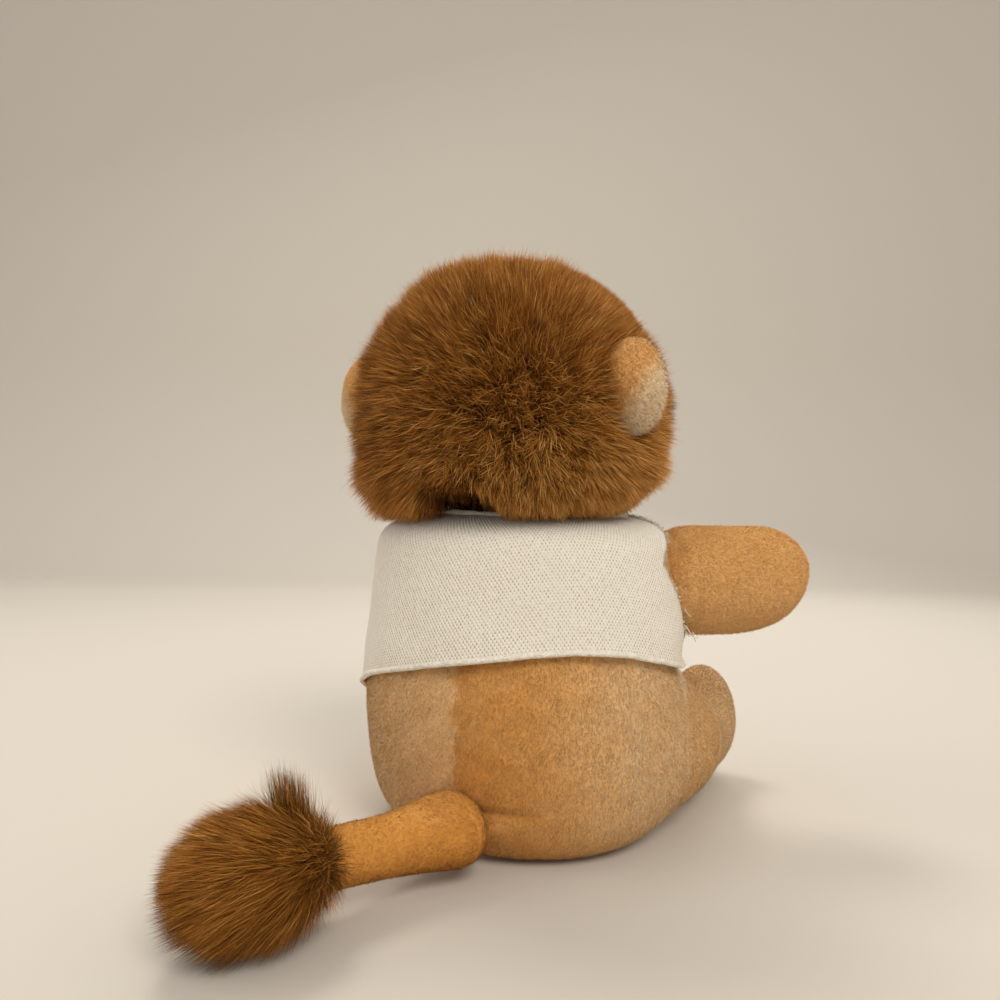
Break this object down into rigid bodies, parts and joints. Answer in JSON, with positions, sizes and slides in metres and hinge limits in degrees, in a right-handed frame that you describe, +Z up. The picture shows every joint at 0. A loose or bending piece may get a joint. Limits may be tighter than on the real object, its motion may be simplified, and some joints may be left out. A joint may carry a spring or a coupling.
{
  "type": "plush lion toy",
  "caption": "Seated plush lion with long-pile mane, cupped ears, stub limbs, tufted tail and a sleeveless knitted vest; head, ears, limbs and tail flex at their seams.",
  "frame": {"origin": "middle of the flat seat panel that the toy sits on", "axes": "+Z up, the lion faces -Y, its left side is +X and its tail lies towards +Y"},
  "size_m": [0.234, 0.2966, 0.255],
  "materials": {
    "tan_plush": "matte",
    "pale_plush": "matte",
    "cream_plush": "matte",
    "mane_pile": "matte",
    "knit": "matte",
    "filling": "matte",
    "moulded": "gloss",
    "washer": "satin",
    "thread": "matte"
  },
  "bodies": {
    "torso": {"body_back_left": "pale_plush", "body_back_right": "tan_plush", "belly_panel": "cream_plush", "seat_panel": "tan_plush", "body_stuffing": "filling", "vest_back": "knit", "vest_front": "knit", "vest_hem": "knit"},
    "neck": {"neck_stuffing": "filling"},
    "head": {"head_stuffing": "filling", "face_panel": "tan_plush", "mane_back": "mane_pile", "mane_ruff": "mane_pile", "muzzle": "cream_plush", "chin": "cream_plush", "nose": "moulded", "mouth_stitch": "thread", "eye_left": "moulded", "eye_right": "moulded", "eye_washer_left": "washer", "eye_washer_right": "washer"},
    "ear_left": {"ear_left_back": "tan_plush", "ear_left_lining": "cream_plush"},
    "ear_right": {"ear_right_back": "tan_plush", "ear_right_lining": "cream_plush"},
    "arm_left": {"arm_left_skin": "tan_plush", "arm_left_stuffing": "filling"},
    "arm_right": {"arm_right_skin": "tan_plush", "arm_right_stuffing": "filling"},
    "leg_left": {"leg_left_skin": "tan_plush", "leg_left_stuffing": "filling", "sole_left": "cream_plush"},
    "leg_right": {"leg_right_skin": "tan_plush", "leg_right_stuffing": "filling", "sole_right": "cream_plush"},
    "tail": {"tail_skin": "tan_plush", "tail_stuffing": "filling"},
    "tuft": {"tuft_pile": "mane_pile", "tuft_stuffing": "filling"}
  },
  "joints": [
    {"name": "head_turn", "type": "hinge", "parent": "torso", "child": "neck", "pos_m": [0, 0, 0.152], "axis": [0, 0, 1], "range_deg": [-35, 35], "stiffness_Nm_per_rad": 0.3},
    {"name": "head_nod", "type": "hinge", "parent": "neck", "child": "head", "pos_m": [0, 0, 0.152], "axis": [1, 0, 0], "range_deg": [-8, 8], "stiffness_Nm_per_rad": 1},
    {"name": "ear_left_fold", "type": "hinge", "parent": "head", "child": "ear_left", "pos_m": [0.05209, 0.0396, 0.195], "axis": [0, 0, 1], "range_deg": [-12, 12], "stiffness_Nm_per_rad": 0.02},
    {"name": "ear_right_fold", "type": "hinge", "parent": "head", "child": "ear_right", "pos_m": [-0.05209, 0.0396, 0.195], "axis": [0, 0, -1], "range_deg": [-12, 12], "stiffness_Nm_per_rad": 0.02},
    {"name": "arm_left_swing", "type": "hinge", "parent": "torso", "child": "arm_left", "pos_m": [0.077, -0.03, 0.113], "axis": [-0.8829, -0.4695, 0], "range_deg": [-25, 25], "stiffness_Nm_per_rad": 0.15},
    {"name": "arm_right_swing", "type": "hinge", "parent": "torso", "child": "arm_right", "pos_m": [-0.077, -0.03, 0.113], "axis": [-0.6428, 0.766, 0], "range_deg": [-25, 25], "stiffness_Nm_per_rad": 0.15},
    {"name": "leg_left_lift", "type": "hinge", "parent": "torso", "child": "leg_left", "pos_m": [0.052, -0.057, 0.0274], "axis": [-0.9945, -0.1045, 0], "range_deg": [-10, 15], "stiffness_Nm_per_rad": 0.3},
    {"name": "leg_right_lift", "type": "hinge", "parent": "torso", "child": "leg_right", "pos_m": [-0.052, -0.057, 0.0274], "axis": [-0.9945, 0.1045, 0], "range_deg": [-10, 15], "stiffness_Nm_per_rad": 0.3},
    {"name": "tail_swing", "type": "hinge", "parent": "torso", "child": "tail", "pos_m": [0, 0.069, 0.019], "axis": [0, 0, 1], "range_deg": [-35, 35], "stiffness_Nm_per_rad": 0.05},
    {"name": "tuft_swing", "type": "hinge", "parent": "tail", "child": "tuft", "pos_m": [0.01575, 0.12051, 0.02277], "axis": [0, 0, 1], "range_deg": [-25, 25], "stiffness_Nm_per_rad": 0.02}
  ]
}
